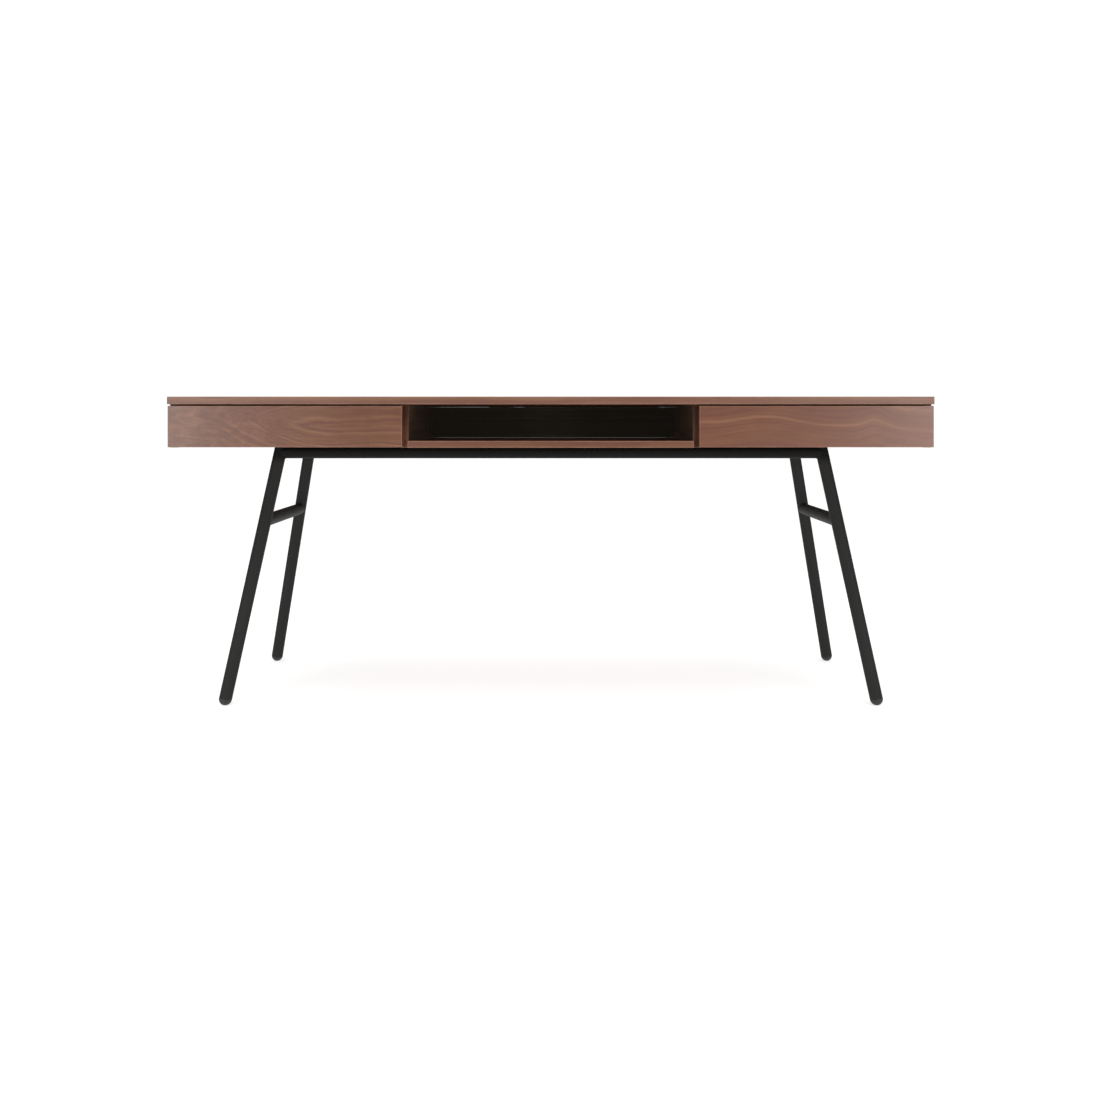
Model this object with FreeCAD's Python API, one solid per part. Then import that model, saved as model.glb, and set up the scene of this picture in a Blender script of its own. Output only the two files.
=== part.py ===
"""Writing desk with two drawers, an open centre compartment and a splayed steel frame.

Millimetres. +X is the user's right, +Y is away from the user, +Z is up. The origin is on the
floor, under the middle of the desktop. Each sub-part is written to parts/NODE.step.
"""
import FreeCAD, Part

import math
import os

Vector = FreeCAD.Vector

# ---- overall sizes ----
desk_width = 1800.0
desk_depth = 700.0
desk_height = 750.0

# ---- wooden case ----
panel = 18.0                  # thickness of the desktop and the case panels
front_thickness = 16.0        # drawer fronts
shelf_thickness = 16.0        # the compartment's floor
case_height = 102.0           # from the underside of the case to the underside of the desktop
desktop_overhang_end = 1.0    # desktop past the end panels
desktop_overhang_front = 2.0  # desktop past the drawer fronts, and past the case at the rear
front_stand_off = 1.0         # closed drawer front to the front edges of the case
front_top_gap = 3.6           # shadow gap between a drawer front and the desktop
front_bottom_lift = 0.9       # lower edge of a drawer front above the underside of the case
compartment_width = 672.0     # between the two dividers
compartment_depth = 470.0     # from the face of the shelf to the compartment's back
back_panel_thickness = 12.0
back_panel_top_gap = 1.5      # light gap above the compartment's back
back_panel_foot_gap = 1.0     # light gap between the back and the compartment's floor
cleat_size = 20.0             # batten under the desktop that the back is fixed to
cleat_left_reach = 175.0
cleat_right_reach = 300.0
cleat_notch_x = -90.0         # shallow notch that lets a thin cable over the back
cleat_notch_width = 30.0
front_over_divider = 5.0      # how much of a divider's front edge a drawer front covers
finger_recess = 26.0          # drawer front to the front edge of the bay bottom
arris = 0.6                   # eased edges of the wooden panels
desktop_arris = 0.9

# ---- dowels in the case ----
dowel_radius = 4.0
dowel_length = 30.0
dowel_in_panel = 12.0         # depth in the face of a panel; the rest is in the other one's edge
dowel_clearance = 0.1
dowel_pitch = 140.0
dowel_margin = 50.0

# ---- drawers ----
box_side = 12.0
box_bottom = 6.0
box_floor_gap = 7.0           # under the box
box_roof_gap = 13.0           # over the box
groove_depth = 6.0
groove_rise = 8.0             # from the lower edge of the box to its groove
groove_clearance = 0.1
slide_length = 450.0
slide_travel = 440.0
slide_thickness = 12.7
slide_set_back = 2.0          # slide to the front edges of the case
box_behind_slide = 4.0

# ---- ball-bearing slides: three nested channels, u is the distance from the case wall ----
case_rail_height = 45.0
case_rail_sheet = 1.2
case_rail_reach = 9.6
case_rail_lip = 2.3
mid_rail_start = 3.4
mid_rail_height = 36.0
mid_rail_sheet = 1.0
mid_rail_reach = 11.0
mid_rail_lip = 1.6
drawer_rail_height = 27.0
drawer_rail_sheet = 1.0
drawer_rail_start = 5.4

# ---- screws ----
slide_screw_radius = 1.75
slide_screw_length = 11.0
slide_screw_head_radius = 3.4
slide_screw_head = 1.7
front_screw_radius = 2.0
front_screw_length = 24.0
front_screw_head_radius = 4.0
front_screw_head = 2.2
frame_screw_radius = 2.5
frame_screw_length = 18.0
frame_screw_head_radius = 5.5
frame_screw_head = 3.0
screw_clearance = 0.3         # of a screw in the piece that it passes through
thread_clearance = 0.05       # of a screw in its pilot hole
bumper_radius = 2.2
bumper_slack = 0.1            # bumper to the closed drawer front

# ---- steel frame ----
tube_radius = 15.6
tube_wall = 1.5
rail_spacing = 327.0          # front rail to rear rail, between their axes
leg_top_spacing = 1363.0      # left leg to right leg, between their axes at the rails
foot_spacing_x = 1588.0
foot_spacing_y = 492.0
crossbar_drop = 170.0         # rail axis to crossbar axis
bar_width = 40.0
bar_thickness = 5.0
outer_bar_from_end = 280.0    # desktop's end to the outer mounting bar
inner_bar_from_divider = 45.0
bar_hole_spacing = 105.0
foot_flat_depth = 0.5         # how much the domed foot is flattened where it stands
foot_stem = 18.0
foot_clearance = 0.1
foot_rib = 1.2

# ---- levels and planes that follow from those sizes ----
desktop_under = desk_height - panel
case_under = desktop_under - case_height
front_y = -desk_depth / 2
front_face_y = front_y + desktop_overhang_front
front_back_y = front_face_y + front_thickness
case_front_y = front_back_y + front_stand_off
case_rear_y = desk_depth / 2 - desktop_overhang_front
end_x = desk_width / 2 - desktop_overhang_end
end_inner_x = end_x - panel
divider_inner_x = compartment_width / 2
divider_outer_x = divider_inner_x + panel
shelf_top = case_under + shelf_thickness
bay_bottom_top = case_under + panel
bay_bottom_front_y = front_back_y + finger_recess
back_y = front_face_y + compartment_depth
rear_panel_y = case_rear_y - panel
drawer_front_inner_x = divider_outer_x - front_over_divider
drawer_front_top = desktop_under - front_top_gap

box_outer_x = end_inner_x - slide_thickness
box_inner_x = divider_outer_x + slide_thickness
box_under = bay_bottom_top + box_floor_gap
box_top = desktop_under - box_roof_gap
slide_y = case_front_y + slide_set_back
slide_z = (box_under + box_top) / 2
box_rear_y = slide_y + slide_length + box_behind_slide
groove_z = box_under + groove_rise

rail_z = case_under - tube_radius
foot_z = tube_radius - foot_flat_depth
crossbar_z = rail_z - crossbar_drop
bar_under = case_under - bar_thickness
outer_bar_x = desk_width / 2 - outer_bar_from_end
inner_bar_x = divider_outer_x + inner_bar_from_divider

PARTS = "parts"
SIDES = {"left": -1, "right": 1}


# ---- small helpers ----

def block(x0, x1, y0, y1, z0, z1):
    """A box between two corners given as ranges."""
    return Part.makeBox(x1 - x0, y1 - y0, z1 - z0, Vector(x0, y0, z0))


def eased(solid, radius):
    """A copy with all of its edges rounded by a small radius."""
    return solid.makeFillet(radius, solid.Edges)


def cut_all(solid, tools):
    return solid.cut(tools) if tools else solid


def mirrored(shape):
    return shape.mirror(Vector(0, 0, 0), Vector(1, 0, 0))


def on_side(shape, side):
    """A shape modelled on the right, moved to the side asked for."""
    return shape if side > 0 else mirrored(shape)


def evenly(start, end, count):
    """Positions spread evenly from start to end, both included."""
    step = (end - start) / (count - 1)
    return [start + step * i for i in range(count)]


def screw(at, direction, radius, length, head_radius, head):
    """A pan-head screw. at is the middle of the seat, and direction is the way the shank points."""
    shank = Part.makeCylinder(radius, length, at, direction)
    cap = Part.makeCylinder(head_radius, head, at, direction * -1)
    rim = [e for e in cap.Edges if (e.BoundBox.Center - (at - direction * head)).Length < head / 2]
    cap = cap.makeFillet(head * 0.6, rim)
    socket_across = head_radius * 0.8
    socket = Part.makePolygon(hexagon(at - direction * head, direction, socket_across / 2))
    recess = Part.Face(socket).extrude(direction * (head * 0.6))
    return cap.fuse(shank).cut(recess)


def hexagon(centre, normal, radius):
    """Seven points round a hexagon, the first repeated to close it."""
    across = Vector(0, 0, 1) if abs(normal.z) < 0.9 else Vector(1, 0, 0)
    other = normal.cross(across)
    turns = [math.radians(60 * i) for i in range(7)]
    return [centre + across * (radius * math.cos(t)) + other * (radius * math.sin(t)) for t in turns]


def save(name, shape):
    """Writes one sub-part, as a compound where it holds several separate solids."""
    solids = shape.Solids
    for solid in solids:
        if not solid.isValid() or solid.Volume <= 0:
            raise ValueError(name + " has a solid that isn't sound")
    whole = solids[0] if len(solids) == 1 else Part.makeCompound(solids)
    whole.exportStep(os.path.join(PARTS, name + ".step"))
    print("%-34s %3d solid(s) %12.1f mm3" % (name, len(solids), whole.Volume))


# ---- dowels: each joins the face of one panel to the edge of another ----

def dowel_rows():
    """Every dowel as (centre of the face it crosses, direction into the edge of the other panel)."""
    found = []
    case_ys = dowel_positions(case_front_y, case_rear_y)
    bottom_ys = dowel_positions(bay_bottom_front_y, rear_panel_y)
    bottom_z = (case_under + bay_bottom_top) / 2
    shelf_z = (case_under + shelf_top) / 2
    panel_xs = (end_x - panel / 2, divider_inner_x + panel / 2)
    for x in panel_xs:
        found += [(Vector(x, y, desktop_under), Vector(0, 0, -1)) for y in case_ys]
    for y in bottom_ys:
        found.append((Vector(end_inner_x, y, bottom_z), Vector(-1, 0, 0)))
        found.append((Vector(divider_outer_x, y, bottom_z), Vector(1, 0, 0)))
    shift = dowel_pitch / 4
    found += [(Vector(divider_inner_x, y + shift, shelf_z), Vector(-1, 0, 0)) for y in bottom_ys]
    rear_y = rear_panel_y + panel / 2
    for z in (bay_bottom_top + case_height * 0.2, desktop_under - case_height * 0.25):
        found.append((Vector(end_inner_x, rear_y, z), Vector(-1, 0, 0)))
        found.append((Vector(divider_outer_x, rear_y, z), Vector(1, 0, 0)))
    middle_y = back_y + back_panel_thickness / 2
    middle_z = (shelf_top + desktop_under) / 2
    for z in (middle_z - case_height * 0.25, middle_z + case_height * 0.2):
        found.append((Vector(divider_inner_x, middle_y, z), Vector(-1, 0, 0)))
    return found


def dowel_positions(start, end):
    """Dowel places along an edge, at about the pitch, with a margin at both ends."""
    room = end - start - 2 * dowel_margin
    count = max(2, int(room // dowel_pitch) + 1)
    return evenly(start + dowel_margin, end - dowel_margin, count)


def dowel_pins(extra=0.0):
    """The dowels of the right-hand half, or with extra their slightly larger holes."""
    pins = []
    for centre, direction in dowel_rows():
        foot = centre - direction * (dowel_in_panel + extra)
        pins.append(Part.makeCylinder(dowel_radius + extra, dowel_length + 2 * extra, foot, direction))
    return pins


def both_halves(shapes):
    return shapes + [mirrored(s) for s in shapes]


# ---- screws that hold the frame, the slides and the drawer fronts ----

def frame_screw_seats():
    """Where the frame screws' heads sit, on the underside of the right-hand mounting bars."""
    return [Vector(x, y, bar_under)
            for x in (outer_bar_x, inner_bar_x)
            for y in (-bar_hole_spacing, 0.0, bar_hole_spacing)]


def frame_screw_holes(radius):
    up = Vector(0, 0, 1)
    return [Part.makeCylinder(radius, frame_screw_length, seat, up) for seat in frame_screw_seats()]


def slide_screw_ys():
    return evenly(slide_y + 35.0, slide_y + slide_length - 35.0, 4)


def case_rail_screw_seats():
    """(seat, direction) of the screws through the right-hand case rails."""
    seats = []
    for y in slide_screw_ys():
        seats.append((Vector(end_inner_x - case_rail_sheet, y, slide_z), Vector(1, 0, 0)))
        seats.append((Vector(divider_outer_x + case_rail_sheet, y, slide_z), Vector(-1, 0, 0)))
    return seats


def drawer_rail_screw_seats():
    """(seat, direction) of the screws through the right-hand drawer rails into the box sides."""
    seats = []
    for y in slide_screw_ys():
        seats.append((Vector(box_outer_x + drawer_rail_sheet, y, slide_z), Vector(-1, 0, 0)))
        seats.append((Vector(box_inner_x - drawer_rail_sheet, y, slide_z), Vector(1, 0, 0)))
    return seats


def front_screw_seats():
    """(seat, direction) of the screws from inside the right-hand box into its drawer front."""
    inset = 45.0
    xs = (box_inner_x + box_side + inset, box_outer_x - box_side - inset)
    zs = (groove_z + box_bottom + 9.0, box_top - 12.0)
    y = front_back_y + box_side
    return [(Vector(x, y, z), Vector(0, -1, 0)) for x in xs for z in zs]


def rods(seats, radius, length):
    return [Part.makeCylinder(radius, length, at, direction) for at, direction in seats]


slide_screw_sizes = (slide_screw_radius, slide_screw_length, slide_screw_head_radius, slide_screw_head)
front_screw_sizes = (front_screw_radius, front_screw_length, front_screw_head_radius, front_screw_head)


# ---- wooden case ----

def make_desktop(pin_holes):
    slab = eased(block(-desk_width / 2, desk_width / 2, front_y, -front_y, desktop_under, desk_height),
                 desktop_arris)
    return cut_all(slab, both_halves(pin_holes))


def make_end_panel(pin_holes, slide_holes):
    solid = eased(block(end_inner_x, end_x, case_front_y, case_rear_y, case_under, desktop_under), arris)
    return cut_all(solid, pin_holes + slide_holes)


def make_divider(pin_holes, slide_holes):
    solid = block(divider_inner_x, divider_outer_x, case_front_y, case_rear_y, case_under, desktop_under)
    return cut_all(eased(solid, arris), pin_holes + slide_holes)


def make_shelf(pin_holes):
    solid = block(-divider_inner_x, divider_inner_x, front_face_y, case_rear_y, case_under, shelf_top)
    return cut_all(eased(solid, arris), both_halves(pin_holes))


def make_bay_bottom(pin_holes, frame_holes):
    solid = block(divider_outer_x, end_inner_x, bay_bottom_front_y, rear_panel_y, case_under, bay_bottom_top)
    return cut_all(eased(solid, arris), pin_holes + frame_holes)


def make_compartment_back(pin_holes):
    solid = block(-divider_inner_x, divider_inner_x, back_y, back_y + back_panel_thickness,
                  shelf_top + back_panel_foot_gap, desktop_under - back_panel_top_gap)
    return cut_all(eased(solid, arris), both_halves(pin_holes))


def make_back_cleat():
    """Batten under the desktop, behind the compartment's back."""
    y = back_y + back_panel_thickness
    solid = block(-cleat_left_reach, cleat_right_reach, y, y + cleat_size,
                  desktop_under - cleat_size, desktop_under)
    notch = block(cleat_notch_x - cleat_notch_width / 2, cleat_notch_x + cleat_notch_width / 2,
                  y, y + cleat_size, desktop_under - back_panel_top_gap, desktop_under)
    return eased(solid, arris).cut(notch)


def make_rear_panel(pin_holes):
    solid = block(divider_outer_x, end_inner_x, rear_panel_y, case_rear_y, case_under, desktop_under)
    return cut_all(eased(solid, arris), pin_holes)


def make_bumpers():
    """Soft dots on the front edges of the case, which a closing drawer front meets."""
    thickness = front_stand_off - bumper_slack
    xs = (end_x - panel / 2, divider_outer_x - front_over_divider / 2)
    zs = (case_under + case_height * 0.2, desktop_under - case_height * 0.2)
    dots = [Part.makeCylinder(bumper_radius, thickness, Vector(x, case_front_y, z), Vector(0, -1, 0))
            for x in xs for z in zs]
    return both_halves(dots)


# ---- drawers ----

def make_drawer_front(screw_holes):
    solid = block(drawer_front_inner_x, end_x, front_face_y, front_back_y,
                  case_under + front_bottom_lift, drawer_front_top)
    return cut_all(eased(solid, arris), screw_holes)


def groove(x0, x1, y0, y1):
    """The slot that the box bottom slides into."""
    return block(x0, x1, y0, y1, groove_z, groove_z + box_bottom + 2 * groove_clearance)


def make_box_side(outer, screw_holes):
    x0 = box_outer_x - box_side if outer else box_inner_x
    solid = eased(block(x0, x0 + box_side, front_back_y, box_rear_y, box_under, box_top), arris)
    slot_x = x0 if outer else x0 + box_side - groove_depth
    slot = groove(slot_x, slot_x + groove_depth, front_back_y, box_rear_y)
    return cut_all(solid, [slot] + screw_holes)


def make_box_front(screw_holes):
    solid = eased(block(box_inner_x + box_side, box_outer_x - box_side,
                        front_back_y, front_back_y + box_side, box_under, box_top), arris)
    slot = groove(box_inner_x, box_outer_x, front_back_y + box_side - groove_depth, front_back_y + box_side)
    return cut_all(solid, [slot] + screw_holes)


def make_box_back():
    solid = block(box_inner_x + box_side, box_outer_x - box_side, box_rear_y - box_side, box_rear_y,
                  groove_z + box_bottom + 2 * groove_clearance, box_top)
    return eased(solid, arris)


def make_box_bottom():
    reach = groove_depth - 2 * groove_clearance
    z0 = groove_z + groove_clearance
    return block(box_inner_x + box_side - reach, box_outer_x - box_side + reach,
                 front_back_y + box_side - reach, box_rear_y, z0, z0 + box_bottom)


# ---- slides ----

def channel(wall_x, inward, web_u, sheet, height, tip_u, lip):
    """A channel along Y. Its web is at web_u from the case wall and its flanges run to tip_u."""
    def part(u0, u1, z0, z1):
        xs = sorted((wall_x + inward * u0, wall_x + inward * u1))
        return block(xs[0], xs[1], slide_y, slide_y + slide_length, z0, z1)

    half = height / 2
    outward = 1 if tip_u > web_u else -1
    web = part(web_u, web_u + outward * sheet, slide_z - half, slide_z + half)
    pieces = []
    for up in (-1, 1):
        edge = sorted((slide_z + up * half, slide_z + up * (half - sheet)))
        pieces.append(part(web_u, tip_u, edge[0], edge[1]))
        if lip:
            fold = sorted((slide_z + up * half, slide_z + up * (half - sheet - lip)))
            pieces.append(part(tip_u - outward * sheet, tip_u, fold[0], fold[1]))
    return web.multiFuse(pieces).removeSplitter()


def make_case_rail(wall_x, inward, holes):
    rail = channel(wall_x, inward, 0.0, case_rail_sheet, case_rail_height, case_rail_reach, case_rail_lip)
    return cut_all(rail, holes)


def make_mid_rail(wall_x, inward):
    return channel(wall_x, inward, mid_rail_start, mid_rail_sheet, mid_rail_height,
                   mid_rail_reach, mid_rail_lip)


def make_drawer_rail(wall_x, inward, holes):
    rail = channel(wall_x, inward, slide_thickness, drawer_rail_sheet, drawer_rail_height,
                   drawer_rail_start, 0.0)
    return cut_all(rail, holes)


# ---- steel frame ----

def leg_points(front):
    """Axis of the right-hand leg at the rail and at the middle of its domed foot."""
    y_sign = -1 if front else 1
    top = Vector(leg_top_spacing / 2, y_sign * rail_spacing / 2, rail_z)
    foot = Vector(foot_spacing_x / 2, y_sign * foot_spacing_y / 2, foot_z)
    return top, foot


def leg_rod(front, radius):
    """A round bar along the leg's axis, from above the case's underside to the foot."""
    top, foot = leg_points(front)
    along = (foot - top).normalize()
    start = top - along * (4 * tube_radius)
    return Part.makeCylinder(radius, (foot - start).Length, start, along)


def make_leg(front):
    tube = leg_rod(front, tube_radius).cut(leg_rod(front, tube_radius - tube_wall))
    top, _ = leg_points(front)
    reach = 6 * tube_radius
    above = block(top.x - reach, top.x + reach, top.y - reach, top.y + reach,
                  case_under, case_under + reach)
    return tube.cut(above)


def make_foot(front):
    """Domed plastic foot, with a ribbed stem that plugs into the leg."""
    top, foot = leg_points(front)
    along = (foot - top).normalize()
    ball = Part.makeSphere(tube_radius, foot)
    behind = Part.makeCylinder(2 * tube_radius, 2 * tube_radius, foot, along * -1)
    dome = ball.cut(behind)
    bore = tube_radius - tube_wall
    stem = Part.makeCylinder(bore - foot_rib, foot_stem, foot, along * -1)
    ribs = [Part.makeCylinder(bore - foot_clearance, foot_rib, foot - along * d, along * -1)
            for d in evenly(foot_stem * 0.2, foot_stem - 2 * foot_rib, 3)]
    floor = block(foot.x - 2 * tube_radius, foot.x + 2 * tube_radius,
                  foot.y - 2 * tube_radius, foot.y + 2 * tube_radius, -2 * tube_radius, 0.0)
    return dome.multiFuse([stem] + ribs).cut(floor)


def tube_between(start, end):
    run = end - start
    outer = Part.makeCylinder(tube_radius, run.Length, start, run)
    return outer.cut(Part.makeCylinder(tube_radius - tube_wall, run.Length, start, run))


def largest(shape):
    """The biggest solid of a shape, which drops the offcuts beyond a coped joint."""
    return max(shape.Solids, key=lambda s: s.Volume)


def make_rail(front):
    """Long rail, coped round the left and right legs."""
    top, _ = leg_points(front)
    tube = tube_between(Vector(-top.x, top.y, top.z), top)
    rod = leg_rod(front, tube_radius)
    return largest(tube.cut([rod, mirrored(rod)]))


def make_crossbar():
    """Short bar from the front leg to the rear leg, coped round both."""
    top, foot = leg_points(True)
    share = (rail_z - crossbar_z) / (rail_z - foot_z)
    at = top + (foot - top) * share
    tube = tube_between(at, Vector(at.x, -at.y, at.z))
    return largest(tube.cut([leg_rod(True, tube_radius), leg_rod(False, tube_radius)]))


def make_mounting_bars():
    """Flat bars welded between the two rails, with holes for the screws into the case."""
    half = rail_spacing / 2
    rails = [Part.makeCylinder(tube_radius, desk_width, Vector(-desk_width / 2, y, rail_z), Vector(1, 0, 0))
             for y in (-half, half)]
    holes = frame_screw_holes(frame_screw_radius + screw_clearance)
    bars = []
    for x in (outer_bar_x, inner_bar_x):
        flat = block(x - bar_width / 2, x + bar_width / 2, -half, half, bar_under, case_under)
        bars.append(largest(flat.cut(rails + holes)))
    return both_halves(bars)


# ---- the whole desk ----

def write_case():
    pin_holes = dowel_pins(dowel_clearance)
    rail_holes = rods(case_rail_screw_seats(), slide_screw_radius + thread_clearance, slide_screw_length)
    pilot_holes = frame_screw_holes(frame_screw_radius + thread_clearance)
    save("desktop", make_desktop(pin_holes))
    save("compartment_shelf", make_shelf(pin_holes))
    save("compartment_back", make_compartment_back(pin_holes))
    save("back_cleat", make_back_cleat())
    save("case_dowels", Part.makeCompound(both_halves(dowel_pins())))
    save("drawer_bumpers", Part.makeCompound(make_bumpers()))
    right = {
        "end_panel": make_end_panel(pin_holes, rail_holes),
        "divider": make_divider(pin_holes, rail_holes),
        "bay_bottom": make_bay_bottom(pin_holes, pilot_holes),
        "rear_panel": make_rear_panel(pin_holes),
    }
    for side_name, side in SIDES.items():
        for piece, shape in right.items():
            save(side_name + "_" + piece, on_side(shape, side))


def write_drawers():
    front_holes = rods(front_screw_seats(), front_screw_radius + thread_clearance, front_screw_length)
    through_holes = rods(front_screw_seats(), front_screw_radius + screw_clearance, box_side)
    side_holes = rods(drawer_rail_screw_seats(), slide_screw_radius + thread_clearance, slide_screw_length)
    front_screws = [screw(at, way, *front_screw_sizes) for at, way in front_screw_seats()]
    side_screws = [screw(at, way, *slide_screw_sizes) for at, way in drawer_rail_screw_seats()]
    right = {
        "front": make_drawer_front(front_holes),
        "box_front": make_box_front(through_holes),
        "side_outer": make_box_side(True, side_holes),
        "side_inner": make_box_side(False, side_holes),
        "box_back": make_box_back(),
        "bottom": make_box_bottom(),
        "front_screws": Part.makeCompound(front_screws),
        "slide_screws": Part.makeCompound(side_screws),
    }
    for side_name, side in SIDES.items():
        for piece, shape in right.items():
            save(side_name + "_drawer_" + piece, on_side(shape, side))


def write_slides():
    case_holes = rods(case_rail_screw_seats(), slide_screw_radius + screw_clearance, case_rail_sheet)
    drawer_holes = rods(drawer_rail_screw_seats(), slide_screw_radius + screw_clearance, drawer_rail_sheet)
    walls = {"outer": (end_inner_x, -1), "inner": (divider_outer_x, 1)}
    for side_name, side in SIDES.items():
        for place, (wall_x, inward) in walls.items():
            rails = {
                "case_rail": make_case_rail(wall_x, inward, case_holes),
                "mid_rail": make_mid_rail(wall_x, inward),
                "drawer_rail": make_drawer_rail(wall_x, inward, drawer_holes),
            }
            for piece, shape in rails.items():
                save("_".join((side_name, place, "slide", piece)), on_side(shape, side))
    screws = [screw(at, way, *slide_screw_sizes) for at, way in case_rail_screw_seats()]
    save("case_rail_screws", Part.makeCompound(both_halves(screws)))


def write_frame():
    save("front_rail", make_rail(True))
    save("rear_rail", make_rail(False))
    save("mounting_bars", Part.makeCompound(make_mounting_bars()))
    up = Vector(0, 0, 1)
    screws = [screw(seat, up, frame_screw_radius, frame_screw_length, frame_screw_head_radius,
                    frame_screw_head) for seat in frame_screw_seats()]
    save("frame_screws", Part.makeCompound(both_halves(screws)))
    crossbar = make_crossbar()
    for side_name, side in SIDES.items():
        save(side_name + "_crossbar", on_side(crossbar, side))
        for end_name, front in (("front", True), ("rear", False)):
            save("_".join((side_name, end_name, "leg")), on_side(make_leg(front), side))
            save("_".join((side_name, end_name, "foot")), on_side(make_foot(front), side))


os.makedirs(PARTS, exist_ok=True)
write_case()
write_drawers()
write_slides()
write_frame()
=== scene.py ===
"""Looks of the writing desk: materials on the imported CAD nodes, and the small pieces that go with them.

Metres, in the row frame: +X is the user's right, +Y is away from the user, +Z is up.
"""

import math

import bmesh
import bpy
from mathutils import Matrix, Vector


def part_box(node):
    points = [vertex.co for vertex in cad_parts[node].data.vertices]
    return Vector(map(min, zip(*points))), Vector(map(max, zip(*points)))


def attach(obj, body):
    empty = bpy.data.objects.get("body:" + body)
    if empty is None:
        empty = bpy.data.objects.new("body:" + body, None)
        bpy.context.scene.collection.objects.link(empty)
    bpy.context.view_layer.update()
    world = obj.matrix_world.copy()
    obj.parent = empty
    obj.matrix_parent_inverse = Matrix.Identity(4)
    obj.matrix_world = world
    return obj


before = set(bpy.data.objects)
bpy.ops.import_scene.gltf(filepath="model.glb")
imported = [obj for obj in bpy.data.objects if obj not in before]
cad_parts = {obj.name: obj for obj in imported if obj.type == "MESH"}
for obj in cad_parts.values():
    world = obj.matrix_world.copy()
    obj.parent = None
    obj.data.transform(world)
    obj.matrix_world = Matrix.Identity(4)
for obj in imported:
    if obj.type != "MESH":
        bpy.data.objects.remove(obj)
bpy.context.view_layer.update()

SIDES = {"left": -1, "right": 1}

# The frame's round tube, read from the front rail.
RAIL_LOW, RAIL_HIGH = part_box("front_rail")
TUBE_RADIUS = (RAIL_HIGH.z - RAIL_LOW.z) / 2

# Weld beads round the tube ends.
WELD_RADIUS = 0.0017
WELD_THINNEST = 0.25          # share of the radius left where two tubes run side by side
WELD_RIPPLE = 0.14
WELD_TO_CASE = 0.0018         # how far a bead's middle stays below the case

# Caged balls along the edges of the slides' middle rails.
BALL_RADIUS = 0.0013
BALL_PITCH = 0.011
FIRST_BALL = 0.026            # from the rail's front end
BALLS_SHORTER = 0.16          # how much shorter the row of balls is than the rail
CAGE_FRONT, CAGE_REAR = 0.02, 0.12
CAGE_NEAR, CAGE_FAR = 0.0014, 0.0035          # from the rail's edge
CAGE_OUTER, CAGE_INNER = 0.0012, 0.0007       # from the rail's middle plane

# Where the camera stands, level, and how the picture is framed.
CAMERA_AT = (0.0146, -2.9, 0.6928)
CAMERA_LENS = 35.6
CAMERA_SHIFT = (-0.0063, -0.1173)


# ======================================================================
# node helpers
# ======================================================================

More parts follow.
